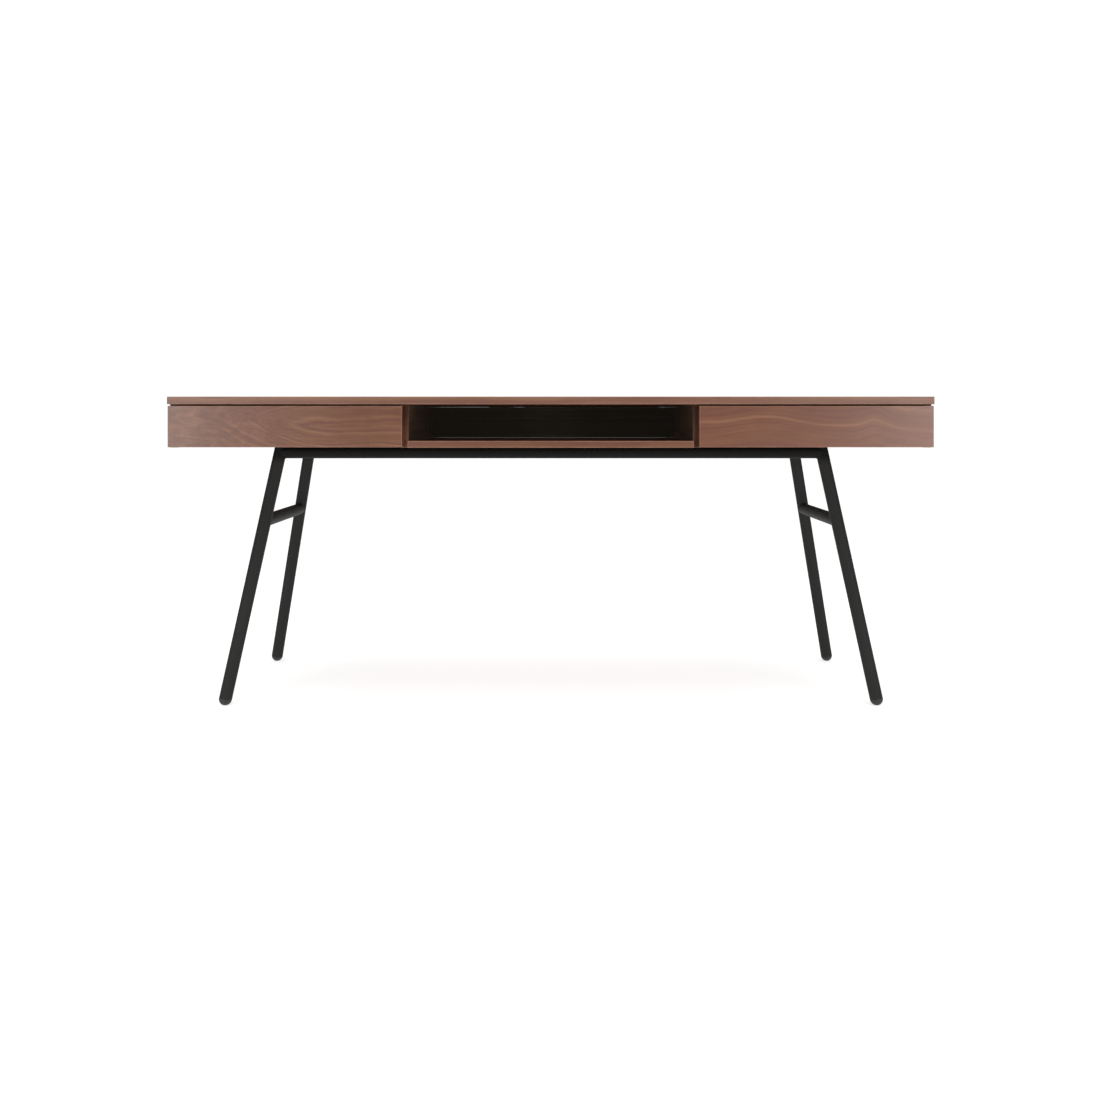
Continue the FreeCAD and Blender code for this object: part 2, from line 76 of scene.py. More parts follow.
class Graph:
    """A material's node tree, with short calls for what the materials below need."""

    def __init__(self, name):
        self.material = bpy.data.materials.new(name)
        self.material.use_nodes = True
        self.tree = self.material.node_tree
        self.tree.nodes.clear()
        out = self.tree.nodes.new("ShaderNodeOutputMaterial")
        self.shader = self.tree.nodes.new("ShaderNodeBsdfPrincipled")
        self.tree.links.new(self.shader.outputs[0], out.inputs[0])
        place = self.tree.nodes.new("ShaderNodeTexCoord")
        self.position = place.outputs["Object"]
        self.facing = place.outputs["Normal"]

    def link(self, source, target):
        self.tree.links.new(source, target)

    def put(self, socket, value):
        """Sets a socket from another socket or from a plain value."""
        if isinstance(value, bpy.types.NodeSocket):
            self.link(value, socket)
        else:
            socket.default_value = value

    def node(self, kind, *values, **settings):
        n = self.tree.nodes.new("ShaderNode" + kind)
        for key, value in settings.items():
            setattr(n, key, value)
        for i, value in enumerate(values):
            if value is not None:
                self.put(n.inputs[i], value)
        return n

    def math(self, operation, a, b=None, c=None):
        return self.node("Math", a, b, c, operation=operation).outputs[0]

    def vmath(self, operation, a, b=None):
        n = self.node("VectorMath", a, b, operation=operation)
        return n.outputs["Value" if operation == "LENGTH" else "Vector"]

    def split(self, vector):
        n = self.node("SeparateXYZ", vector)
        return n.outputs[0], n.outputs[1], n.outputs[2]

    def join(self, x, y, z):
        return self.node("CombineXYZ", x, y, z).outputs[0]

    def noise(self, at, stretch, detail=2.0, rough=0.5, distortion=0.0):
        """Noise from -1 to 1, with stretch features per metre along each direction."""
        n = self.node("TexNoise")
        self.link(self.vmath("MULTIPLY", at, stretch), n.inputs["Vector"])
        n.inputs["Scale"].default_value = 1.0
        n.inputs["Detail"].default_value = detail
        n.inputs["Roughness"].default_value = rough
        n.inputs["Distortion"].default_value = distortion
        return self.math("MULTIPLY_ADD", n.outputs[0], 2.0, -1.0)

    def range(self, value, a, b, c=0.0, d=1.0):
        """value from a..b mapped smoothly to c..d."""
        return self.node("MapRange", value, a, b, c, d, interpolation_type="SMOOTHSTEP").outputs[0]

    def mix(self, factor, a, b):
        """Colour a turning into colour b. Each is a socket or three plain numbers."""
        n = self.node("Mix", data_type="RGBA", clamp_factor=True)
        self.put(n.inputs[0], factor)
        for socket, colour in ((n.inputs[6], a), (n.inputs[7], b)):
            self.put(socket, (*colour, 1.0) if isinstance(colour, tuple) else colour)
        return n.outputs[2]

    def mix_vector(self, factor, a, b):
        n = self.node("Mix", data_type="VECTOR")
        self.put(n.inputs[0], factor)
        self.put(n.inputs[4], a)
        self.put(n.inputs[5], b)
        return n.outputs[1]

    def ramp(self, value, stops):
        n = self.node("ValToRGB", value)
        band = n.color_ramp
        while len(band.elements) < len(stops):
            band.elements.new(0.5)
        for element, (at, colour) in zip(band.elements, stops):
            element.position = at
            element.color = (*colour, 1.0)
        return n.outputs[0]

    def noisy_ramp(self, noise, spread, stops):
        """Colours picked by a -1 to 1 noise, spread about the ramp's middle."""
        return self.ramp(self.math("MULTIPLY_ADD", noise, spread, 0.5), stops)

    def bump(self, height, distance, strength):
        n = self.node("Bump")
        n.inputs["Strength"].default_value = strength
        n.inputs["Distance"].default_value = distance
        self.link(height, n.inputs["Height"])
        self.link(n.outputs[0], self.shader.inputs["Normal"])

    def set(self, name, value):
        """Sets one of the shader's own inputs."""
        self.put(self.shader.inputs[name], value)

    def edge_distance(self, low, high):
        """Distance to the nearest edge of a box-shaped panel, in metres."""
        centre = (Vector(low) + Vector(high)) / 2
        half = (Vector(high) - Vector(low)) / 2
        off = self.vmath("ABSOLUTE", self.vmath("SUBTRACT", self.position, tuple(centre)))
        x, y, z = self.split(self.vmath("SUBTRACT", tuple(half), off))
        nearest = self.math("MINIMUM", x, y)
        other = self.math("MAXIMUM", x, y)
        return self.math("MAXIMUM", nearest, self.math("MINIMUM", other, z))


# ======================================================================
# walnut
# ======================================================================

WALNUT_SHADES = [(0.26, (0.072, 0.026, 0.013)), (0.42, (0.118, 0.045, 0.023)),
                 (0.56, (0.166, 0.068, 0.035)), (0.72, (0.222, 0.100, 0.055))]
WALNUT_ROSY = (0.160, 0.060, 0.043)
WALNUT_TAN = (0.222, 0.112, 0.058)
WALNUT_OLIVE = (0.172, 0.083, 0.037)
WALNUT_PORE = (0.030, 0.012, 0.008)
WALNUT_RUBBED = (0.30, 0.160, 0.100)
WALNUT_SHADED = (0.014, 0.005, 0.002)

# The ring figure of a veneer, in metres on the face: u runs along the grain and v across it.
#   u, v      its heart
#   depth     how far the heart lies behind the face
#   curve     how quickly the heart dips away on both sides, which closes the arches
#   taper     (u, slope): from that u down, the arches narrow to points
#   sway      how far the lines wander, and ripple how far they tremble
#   hills     (u, height, half-width) of each rise in the lines, and tilt their overall slope
#   rings     rings per metre
#   contrast  of the rings, and faint the share of it left in the faintest patches
#   fade      (from, to) in u and calm (from, to) in v: the rings are weaker before the second value
#   streaks   strength of the straight streaks
#   mottle    (from, to) in u over which a cross-grained mottle sets in
PLAIN_FIGURE = {"sway": 0.010, "ripple": 0.0024, "hills": (), "tilt": 0.0, "rings": 95.0,
                "contrast": 1.0, "faint": 0.25, "streaks": 0.075}
STRAIGHT = {"u": 0.0, "v": 0.35, "depth": 0.02, "curve": 0.01, "sway": 0.012}
TOP_FIGURE = {"u": 0.25, "v": 0.09, "depth": 0.010, "curve": 0.035, "sway": 0.018, "rings": 70.0,
              "contrast": 1.5}
SHELF_FIGURE = {"u": -0.1, "v": 0.60, "depth": 0.03, "curve": 0.02, "sway": 0.014, "rings": 120.0}
DIVIDER_FIGURE = {"u": -0.1, "v": 0.60, "depth": 0.03, "curve": 0.1}
LEFT_FLAME = {"u": -0.505, "v": 0.689, "depth": 0.005, "curve": 0.10, "taper": (-0.565, 0.27),
              "sway": 0.020, "ripple": 0.006, "rings": 125.0, "contrast": 1.25, "faint": 0.15,
              "streaks": 0.15, "hills": ((-0.515, -0.010, 0.100), (-0.800, 0.022, 0.060)),
              "fade": (-0.78, -0.66), "mottle": (-0.58, -0.74)}
RIGHT_WAVES = {"u": 0.47, "v": 0.544, "depth": 0.010, "curve": 0.0, "sway": 0.012, "rings": 62.0,
               "calm": (0.655, 0.682), "contrast": 2.00, "streaks": 0.13, "tilt": -0.030,
               "hills": ((0.500, 0.026, 0.110), (0.762, 0.024, 0.038))}


def grain_coords(g, lengthwise, leaf):
    """(u along the grain, v across it, w into the panel), chosen by which way each face looks.

    lengthwise is "x" for a panel that runs across the desk, and "y" for one that runs front to back.
    leaf is the width of a veneer leaf where the top face is book-matched, or None. The edges get a w
    of their own, so that their pores differ from those of the face beside them.
    """
    x, y, z = g.split(g.position)
    nx, ny, _ = g.split(g.facing)
    on_x = g.math("GREATER_THAN", g.math("ABSOLUTE", nx), 0.7)
    on_y = g.math("GREATER_THAN", g.math("ABSOLUTE", ny), 0.7)
    top_v, top_u = (y, x) if lengthwise == "x" else (x, y)
    if leaf:
        top_v = g.math("PINGPONG", g.math("ADD", top_v, 10.0), leaf)
    flat = g.join(top_u, top_v, z)
    faces_x = g.vmath("ADD", g.join(y, z, x), (0.0, 0.0, 7.7))
    faces_y = g.join(x, z, y) if lengthwise == "x" else g.join(z, x, y)
    faces_y = g.vmath("ADD", faces_y, (0.0, 0.0, 4.3))
    return g.mix_vector(on_x, g.mix_vector(on_y, flat, faces_y), faces_x)


def distance_across(g, figure, u, v, seeded):
    """How far a point lies across the grain from the figure's heart line."""
    sway = g.math("MULTIPLY", g.noise(seeded, (3.2, 9.0, 9.0)), figure["sway"])
    ripple = g.math("MULTIPLY", g.noise(seeded, (14.0, 40.0, 40.0)), figure["ripple"])
    lift = 0.0
    for hill_u, height, width in figure["hills"]:
        reach = g.math("DIVIDE", g.math("SUBTRACT", u, hill_u), width)
        bell = g.math("DIVIDE", height, g.math("MULTIPLY_ADD", reach, reach, 1.0))
        lift = g.math("ADD", bell, lift)
    if figure["tilt"]:
        lift = g.math("MULTIPLY_ADD", u, figure["tilt"], lift)
    across = g.math("SUBTRACT", g.math("SUBTRACT", g.math("ADD", v, sway), lift), figure["v"])
    return g.math("ADD", across, ripple)


def growth_rings(g, figure, u, v, across, seeded, seed):
    """The light and dark of the rings that the face cuts, about 0."""
    from_heart = g.math("SUBTRACT", u, figure["u"])
    dip = g.math("MULTIPLY", g.math("MULTIPLY", from_heart, from_heart), figure["curve"])
    radius = g.vmath("LENGTH", g.join(g.math("ADD", dip, figure["depth"]), across, 0.0))
    if "taper" in figure:
        start, slope = figure["taper"]
        short = g.math("SMOOTH_MAX", g.math("SUBTRACT", start, u), 0.0, 0.06)
        radius = g.math("MULTIPLY_ADD", short, slope, radius)
    rings = g.node("TexNoise", noise_dimensions="1D")
    g.link(g.math("MULTIPLY_ADD", radius, figure["rings"], seed * 5.3), rings.inputs["W"])
    rings.inputs["Scale"].default_value = 1.0
    rings.inputs["Detail"].default_value = 3.0
    rings.inputs["Roughness"].default_value = 0.62

    strength = g.range(g.noise(seeded, (5.0, 22.0, 22.0)), -0.45, 0.5, figure["faint"], 1.0)
    strength = g.math("MULTIPLY", strength, figure["contrast"])
    if "fade" in figure:
        strength = g.math("MULTIPLY", strength, g.range(u, *figure["fade"], 0.35, 1.0))
    if "calm" in figure:
        strength = g.math("MULTIPLY", strength, g.range(v, *figure["calm"], 0.30, 1.0))
    return g.math("MULTIPLY", g.math("SUBTRACT", rings.outputs[0], 0.5), strength)


def walnut(name, lengthwise, box, seed, figure, leaf=None, tone=(1.0, 1.0, 1.0), toned_faces=None,
           gloss=0.33, ior=1.48, shaded_front=None):
    """Satin-lacquered walnut veneer, with rings, streaks, pores, clouds of colour and rubbed edges.

    tone multiplies the colours, on all faces or on toned_faces alone: "front" or "sides". shaded_front
    is how far the front edge is darkened at its foot and at its head. Both also stand in for shade
    that the photo shows and this scene's lights don't give.
    """
    g = Graph(name)
    figure = {**PLAIN_FIGURE, **figure}

    def toned(colour):
        return tuple(part * share for part, share in zip(colour, tone))

    at = grain_coords(g, lengthwise, leaf)
    u, v, w = g.split(at)
    seeded = g.vmath("ADD", at, (seed * 1.7, seed * 0.9, seed * 2.3))
    across = distance_across(g, figure, u, v, seeded)
    band = growth_rings(g, figure, u, v, across, seeded, seed)
    along = g.join(g.math("ADD", u, seed * 1.7), g.math("ADD", across, seed * 0.9),
                   g.math("ADD", w, seed * 2.3))

    streak = g.noise(along, (4.0, 230.0, 230.0), 3.0, 0.6)
    fine = g.noise(along, (22.0, 1100.0, 1100.0), 2.0, 0.55)
    pores = g.range(g.noise(seeded, (95.0, 2300.0, 2300.0), 1.0), 0.34, 0.62)
    cloud = g.noise(seeded, (4.5, 13.0, 13.0), 3.0, 0.55)
    flame = g.noise(seeded, (17.0, 5.0, 5.0), 2.0, 0.5, 0.6)

    tint = g.math("MULTIPLY_ADD", streak, figure["streaks"], g.math("ADD", band, 0.53))
    tint = g.math("MULTIPLY_ADD", fine, 0.05, tint)
    tint = g.math("MULTIPLY_ADD", cloud, 0.13, tint)
    tint = g.math("MULTIPLY_ADD", flame, 0.050, tint)
    if "mottle" in figure:
        blotch = g.noise(seeded, (26.0, 34.0, 34.0), 3.0, 0.6, 0.8)
        tint = g.math("MULTIPLY_ADD", blotch, g.range(u, *figure["mottle"], 0.04, 0.36), tint)
    colour = g.ramp(tint, [(stop, toned(shade)) for stop, shade in WALNUT_SHADES])

    rosy = g.math("MULTIPLY", g.range(g.noise(seeded, (2.1, 8.0, 8.0), 1.0), -0.5, 0.5), 0.32)
    rosy = g.math("ADD", g.range(band, -0.14, 0.02, 0.45, 0.0), rosy)
    colour = g.mix(rosy, colour, toned(WALNUT_ROSY))
    colour = g.mix(g.range(band, 0.03, 0.17, 0.0, 0.34), colour, toned(WALNUT_TAN))
    elsewhere = g.vmath("ADD", seeded, (5.0, 5.0, 5.0))
    olive = g.range(g.noise(elsewhere, (3.3, 15.0, 15.0)), 0.0, 0.6)
    colour = g.mix(g.math("MULTIPLY", olive, 0.45), colour, toned(WALNUT_OLIVE))
    colour = g.mix(g.math("MULTIPLY", pores, 0.38), colour, toned(WALNUT_PORE))

    near_edge = g.range(g.edge_distance(*box), 0.0004, 0.0030, 1.0, 0.0)
    rubbed = g.range(g.noise(seeded, (30.0, 90.0, 90.0), 3.0), -0.35, 0.6)
    wear = g.math("MULTIPLY", near_edge, g.math("MULTIPLY_ADD", rubbed, 0.55, 0.12))
    colour = g.mix(wear, colour, toned(WALNUT_RUBBED))

    sideways, away, _ = g.split(g.facing)
    on_front = g.range(away, -0.95, -0.60, 1.0, 0.0)
    # Painted shade: toned_faces keeps the tone, and so its darkening, to those faces alone.
    if toned_faces:
        on_sides = g.range(g.math("ABSOLUTE", sideways), 0.60, 0.95) if toned_faces == "sides" else None
        plain = g.vmath("MULTIPLY", colour, tuple(1.0 / share for share in tone))
        colour = g.mix(on_sides or on_front, plain, colour)
    # Painted shade: the front edge darkens towards its head, and its specular is lowered there.
    if shaded_front:
        _, _, height = g.split(g.position)
        upward = g.range(height, box[0].z - 0.002, box[1].z - 0.012, *shaded_front)
        colour = g.mix(g.math("MULTIPLY", on_front, upward), colour, WALNUT_SHADED)
        g.set("Specular IOR Level", g.math("MULTIPLY_ADD", on_front, -0.35, 0.5))
    g.set("Base Color", colour)

    rough = g.math("MULTIPLY_ADD", cloud, 0.05, gloss)
    rough = g.math("MULTIPLY_ADD", pores, 0.14, rough)
    g.set("Roughness", g.math("MULTIPLY_ADD", wear, 0.10, rough))
    g.set("IOR", ior)
    relief = g.math("MULTIPLY_ADD", pores, -0.7, g.math("MULTIPLY", fine, 0.22))
    g.bump(g.math("MULTIPLY_ADD", streak, 0.16, relief), 0.00012, 0.55)
    return g.material


# ======================================================================
# birch and beech
# ======================================================================

PLY_PITCH = 0.0014


def plywood(name, box, seed, across):
    """Lacquered birch plywood: a pale face, and fine plies on every cut edge.

    across names its thin direction.
    """
    g = Graph(name)
    x, y, z = g.split(g.position)
    nx, ny, nz = g.split(g.facing)
    long, broad, thin, facing = {"x": (y, z, x, nx), "y": (x, z, y, ny), "z": (x, y, z, nz)}[across]
    seeded = g.vmath("ADD", g.join(long, broad, thin), (seed, seed * 1.3, seed * 0.7))
    streak = g.noise(seeded, (5.0, 160.0, 160.0), 3.0, 0.6)
    cloud = g.noise(seeded, (3.0, 14.0, 14.0))
    fleck = g.range(g.noise(seeded, (120.0, 900.0, 900.0), 1.0), 0.3, 0.62)
    tint = g.math("MULTIPLY_ADD", streak, 0.22, g.math("MULTIPLY_ADD", cloud, 0.20, 0.5))
    face = g.ramp(tint, [(0.2, (0.46, 0.30, 0.165)), (0.5, (0.56, 0.385, 0.225)), (0.8, (0.65, 0.47, 0.30))])
    face = g.mix(g.math("MULTIPLY", fleck, 0.35), face, (0.33, 0.20, 0.10))

    layer = g.math("PINGPONG", g.math("ADD", thin, 10.0), PLY_PITCH)
    grit = g.noise(g.position, (420.0, 420.0, 420.0), 2.0, 0.6)
    pale = g.noisy_ramp(grit, 0.4, [(0.2, (0.50, 0.34, 0.20)), (0.8, (0.62, 0.44, 0.27))])
    dark = g.noisy_ramp(grit, 0.4, [(0.2, (0.24, 0.14, 0.075)), (0.8, (0.36, 0.22, 0.125))])
    edge = g.mix(g.range(layer, 0.00055, 0.00085), dark, pale)

    on_face = g.math("GREATER_THAN", g.math("ABSOLUTE", facing), 0.7)
    near_edge = g.range(g.edge_distance(*box), 0.0003, 0.0016, 0.30, 0.0)
    g.set("Base Color", g.mix(near_edge, g.mix(on_face, edge, face), (0.30, 0.185, 0.10)))
    g.set("Roughness", g.math("MULTIPLY_ADD", cloud, 0.06, 0.42))
    g.bump(g.math("MULTIPLY_ADD", fleck, -0.5, g.math("MULTIPLY", streak, 0.4)), 0.00010, 0.5)
    return g.material


def beech(name):
    """Plain turned beech, with lines along the pin and short dark flecks."""
    g = Graph(name)
    lines = g.noise(g.position, (90.0, 90.0, 90.0), 4.0, 0.65)
    fleck = g.range(g.noise(g.position, (700.0, 700.0, 260.0), 1.0), 0.25, 0.6)
    colour = g.noisy_ramp(lines, 0.4, [(0.2, (0.42, 0.26, 0.14)), (0.8, (0.60, 0.41, 0.25))])
    g.set("Base Color", g.mix(g.math("MULTIPLY", fleck, 0.5), colour, (0.26, 0.13, 0.06)))
    g.set("Roughness", g.math("MULTIPLY_ADD", lines, 0.08, 0.6))
    g.bump(lines, 0.0002, 0.4)
    return g.material


# ======================================================================
# metal, plastic and rubber
# ======================================================================

def powder_coat(name):
    """Fine-textured black powder coat: an orange-peel skin with a sand-like grain, dusty in places.

    Close under the case it is darkened, for the shade it stands in there in the photo.
    """
    g = Graph(name)
    sand = g.noise(g.position, (1500.0, 1500.0, 1500.0), 2.0, 0.6)
    peel = g.noise(g.position, (330.0, 330.0, 330.0), 1.0)
    dust = g.range(g.noise(g.position, (6.0, 6.0, 3.0), 4.0, 0.6), -0.1, 0.7)
    scuff = g.range(g.noise(g.position, (75.0, 75.0, 22.0), 4.0, 0.7), 0.42, 0.75)
    colour = g.noisy_ramp(sand, 0.35, [(0.15, (0.0105, 0.0106, 0.0099)), (0.85, (0.0245, 0.0245, 0.0229))])
    colour = g.mix(g.math("MULTIPLY", dust, 0.24), colour, (0.050, 0.048, 0.044))
    colour = g.mix(g.math("MULTIPLY", scuff, 0.20), colour, (0.060, 0.058, 0.054))
    # Painted shade: the coat is darkened close under the case, darkest at the top of the rails.
    _, _, height = g.split(g.position)
    outside_case_shade = g.range(height, RAIL_LOW.z - 0.020, RAIL_LOW.z + 0.012, 1.0, 0.10)
    g.set("Base Color", g.mix(outside_case_shade, (0.0008, 0.0008, 0.0007), colour))
    rough = g.math("MULTIPLY_ADD", sand, 0.06, 0.60)
    g.set("Roughness", g.math("MULTIPLY_ADD", dust, 0.10, rough))
    g.set("Specular IOR Level", 0.14)
    g.bump(g.math("MULTIPLY_ADD", peel, 0.6, g.math("MULTIPLY", sand, 0.5)), 0.00010, 0.7)
    return g.material


def foot_plastic(name):
    """Moulded black plastic, matt from a sparked tool, greyer and scratched where it meets the floor."""
    g = Graph(name)
    _, _, height = g.split(g.position)
    spark = g.noise(g.position, (2200.0, 2200.0, 2200.0), 2.0, 0.6)
    blotch = g.noise(g.position, (120.0, 120.0, 120.0), 3.0)
    scratch = g.range(g.noise(g.position, (900.0, 240.0, 60.0), 3.0, 0.65), 0.25, 0.6)
    low = g.range(height, 0.0, 0.012, 1.0, 0.0)
    colour = g.noisy_ramp(blotch, 0.4, [(0.2, (0.0105, 0.0105, 0.0108)), (0.8, (0.0215, 0.0212, 0.0208))])
    rubbed = g.math("MULTIPLY", low, g.math("MULTIPLY_ADD", scratch, 0.45, 0.2))
    g.set("Base Color", g.mix(rubbed, colour, (0.075, 0.072, 0.068)))
    g.set("Roughness", g.math("MULTIPLY_ADD", spark, 0.06, g.math("MULTIPLY_ADD", low, 0.12, 0.50)))
    g.set("Specular IOR Level", 0.40)
    g.bump(g.math("MULTIPLY_ADD", scratch, -0.4, g.math("MULTIPLY", spark, 0.5)), 0.00008, 0.6)
    return g.material


def zinc_steel(name, bright=0.0):
    """Rolled, zinc-plated steel: lines from rolling along Y, faint spangle and a warm-to-blue film."""
    g = Graph(name)
    rolled = g.noise(g.position, (900.0, 5.0, 900.0), 3.0, 0.6)
    film = g.noise(g.position, (9.0, 4.0, 9.0))
    spangle = g.noise(g.position, (260.0, 260.0, 260.0), 1.0)
    cool = (0.50 + bright, 0.53 + bright, 0.57 + bright)
    warm = (0.60 + bright, 0.57 + bright, 0.51 + bright)
    colour = g.noisy_ramp(film, 0.5, [(0.25, cool), (0.75, warm)])
    grime = g.range(g.noise(g.position, (40.0, 12.0, 40.0), 4.0, 0.6), 0.15, 0.7)
    g.set("Base Color", g.mix(g.math("MULTIPLY", grime, 0.35), colour, (0.24, 0.22, 0.19)))
    g.set("Metallic", 1.0)
    rough = g.math("MULTIPLY_ADD", rolled, 0.07, 0.31)
    g.set("Roughness", g.math("MULTIPLY_ADD", spangle, 0.04, rough))
    g.bump(g.math("MULTIPLY_ADD", spangle, 0.3, g.math("MULTIPLY", rolled, 0.5)), 0.00005, 0.5)
    return g.material


def clear_rubber(name):
    """Soft translucent bumper, slightly yellowed and dusty."""
    g = Graph(name)
    mottle = g.noise(g.position, (500.0, 500.0, 500.0), 3.0)
    g.set("Base Color", g.noisy_ramp(mottle, 0.4, [(0.2, (0.50, 0.49, 0.44)), (0.8, (0.68, 0.67, 0.62))]))
    g.set("Transmission Weight", 0.35)
    g.set("Roughness", g.math("MULTIPLY_ADD", mottle, 0.1, 0.42))
    g.bump(mottle, 0.0001, 0.4)
    return g.material


# ======================================================================
# materials on the CAD nodes
# ======================================================================

def paint(node, material):
    """Gives one CAD node its material."""
    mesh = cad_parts[node].data
    mesh.materials.clear()
    mesh.materials.append(material)


def paint_case():
    """Walnut panels, each cut from its own part of the veneer."""
    desktop = walnut("walnut_desktop", "x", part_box("desktop"), 1.0, TOP_FIGURE, leaf=0.175,
                     tone=(1.05, 1.05, 1.05), gloss=0.44, ior=1.56)
    paint("desktop", desktop)
    paint("compartment_shelf", walnut("walnut_shelf", "x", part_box("compartment_shelf"), 2.0, SHELF_FIGURE))
    # Painted shade: the tone darkens the back's front face, for the shade deep inside the compartment.
    back = walnut("walnut_back", "x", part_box("compartment_back"), 3.0, STRAIGHT, gloss=0.62, ior=1.36,
                  tone=(0.26, 0.50, 0.54), toned_faces="front")
    paint("compartment_back", back)
    # Painted shade on the dividers' front edges: how dark at their foot and at their head.
    divider_front_shade = {"left": (0.0, 0.74), "right": (0.55, 0.80)}
    for number, (side, sign) in enumerate(SIDES.items()):
        seed = 4.0 + 5.0 * number
        end_figure = {"u": 0.1 * sign, "v": 0.69, "depth": 0.012, "curve": 0.14, "sway": 0.024,
                      "contrast": 0.7}
        rear_figure = {"u": 0.6 * sign, "v": 0.67, "depth": 0.01, "curve": 0.3, "sway": 0.022,
                       "contrast": 0.8}
        # Painted shade: the end panel's front edge darkens towards its head, under the desktop.
        end = walnut("walnut_%s_end" % side, "y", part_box(side + "_end_panel"), seed, end_figure,
                     shaded_front=(0.10, 0.94))
        # Painted shade: the tone darkens the dividers' side faces inside the compartment, and shaded_front
        # darkens their front edges towards the head.
        divider = walnut("walnut_%s_divider" % side, "y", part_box(side + "_divider"), seed + 1,
                         DIVIDER_FIGURE, tone=(0.54, 0.80, 0.92), toned_faces="sides",
                         shaded_front=divider_front_shade[side])
        bottom = walnut("walnut_%s_bottom" % side, "x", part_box(side + "_bay_bottom"), seed + 2, STRAIGHT,
                        leaf=0.16)
        rear = walnut("walnut_%s_rear" % side, "x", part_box(side + "_rear_panel"), seed + 3, rear_figure)
        paint(side + "_end_panel", end)
        paint(side + "_divider", divider)
        paint(side + "_bay_bottom", bottom)
        paint(side + "_rear_panel", rear)
    flamed = walnut("walnut_left_front", "x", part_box("left_drawer_front"), 21.0, LEFT_FLAME)
    waved = walnut("walnut_right_front", "x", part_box("right_drawer_front"), 24.0, RIGHT_WAVES,
                   tone=(1.01, 0.95, 0.92))
    paint("left_drawer_front", flamed)
    paint("right_drawer_front", waved)


def paint_drawer_boxes():
    """Birch plywood, with plies on the cut edges of each piece."""
    thin = {"side_outer": "x", "side_inner": "x", "box_front": "y", "box_back": "y", "bottom": "z"}
    for number, side in enumerate(SIDES):
        for step, (piece, across) in enumerate(thin.items()):
            node = "%s_drawer_%s" % (side, piece)
            paint(node, plywood("birch_" + node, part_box(node), 3.0 * number + 1.1 * step, across))
    paint("back_cleat", plywood("birch_back_cleat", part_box("back_cleat"), 8.0, "y"))


def paint_hardware():
    """Frame, feet, slides, screws, pins and bumpers. Returns what the added pieces share with them."""
    coat = powder_coat("black_powder_coat")
    foot = foot_plastic("foot_plastic")
    zinc = zinc_steel("zinc_steel")
    screws = zinc_steel("screw_steel", 0.08)
    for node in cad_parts:
        if node.endswith("_screws"):
            paint(node, screws)
        elif "_slide_" in node:
            paint(node, zinc)
        elif node.endswith("_foot"):
            paint(node, foot)
        elif node.endswith(("_leg", "_crossbar", "_rail")) or node == "mounting_bars":
            paint(node, coat)
    paint("case_dowels", beech("beech_pins"))
    paint("drawer_bumpers", clear_rubber("clear_rubber"))
    return coat, screws


# ======================================================================
# pieces that the CAD leaves out
# ======================================================================

def add_mesh(name, mesh, material, body):
    """Makes a smooth-shaded piece that rides on a body."""
    for face in mesh.faces:
        face.smooth = True
    data = bpy.data.meshes.new(name)
    mesh.to_mesh(data)
    mesh.free()
    data.materials.append(material)
    piece = bpy.data.objects.new(name, data)
    bpy.context.collection.objects.link(piece)
    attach(piece, body)


def sweep_ring(mesh, points, normals, radii):
    """A closed, slightly rippled bead along a loop of points."""
    count, sides = len(points), 8
    rings = []
    for i in range(count):
        along = (points[(i + 1) % count] - points[i - 1]).normalized()
        out = normals[i].normalized()
        over = along.cross(out).normalized()
        size = radii[i] * (1.0 + WELD_RIPPLE * math.sin(i * math.tau / 5.0))
        turns = [k * math.tau / sides for k in range(sides)]
        rings.append([mesh.verts.new(points[i] + (out * math.cos(a) + over * math.sin(a)) * size)
                      for a in turns])
    for i in range(count):
        a, b = rings[i], rings[(i + 1) % count]
        for k in range(sides):
            mesh.faces.new((a[k], a[(k + 1) % sides], b[(k + 1) % sides], b[k]))


def middle(box):
    """The middle of a (low, high) box."""
    return (box[0] + box[1]) / 2


def leg_axis(side, end):
    """A leg's axis, from its foot's middle up to the rail: the foot, the direction and the top."""
    foot_low, foot_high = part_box("%s_%s_foot" % (side, end))
    foot_x = foot_high.x - TUBE_RADIUS if side == "right" else foot_low.x + TUBE_RADIUS
    foot_y = foot_high.y - TUBE_RADIUS if end == "rear" else foot_low.y + TUBE_RADIUS
    foot = Vector((foot_x, foot_y, TUBE_RADIUS - 0.0005))
    bar = middle(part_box(side + "_crossbar"))
    rail = middle(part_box(end + "_rail"))
    slope_x = (bar.x - foot.x) / (bar.z - foot.z)
    top = Vector((foot.x + slope_x * (rail.z - foot.z), rail.y, rail.z))
    return foot, (top - foot).normalized(), top


def weld_loop(start, run, leg_point, leg_along, steps=60):
    """Where a tube that runs along run from start meets a leg: points, outward normals and bead radii."""
    side_a = run.orthogonal().normalized()
    side_b = run.cross(side_a).normalized()
    points, normals, radii = [], [], []
    for i in range(steps):
        turn = i * math.tau / steps
        out = side_a * math.cos(turn) + side_b * math.sin(turn)
        base = start + out * TUBE_RADIUS - leg_point
        flat_base = base - leg_along * base.dot(leg_along)
        flat_run = run - leg_along * run.dot(leg_along)
        a = flat_run.length_squared
        b = 2 * flat_base.dot(flat_run)
        c = flat_base.length_squared - TUBE_RADIUS ** 2
        root = max(b * b - 4 * a * c, 0.0)
        travel = (-b - math.sqrt(root)) / (2 * a)
        point = start + out * TUBE_RADIUS + run * travel
        from_leg = point - leg_point
        leg_out = (from_leg - leg_along * from_leg.dot(leg_along)).normalized()
        points.append(point)
        normals.append(out + leg_out)
        radii.append(WELD_RADIUS * max(WELD_THINNEST, 1.0 - abs(out.dot(leg_out))))
    return points, normals, radii


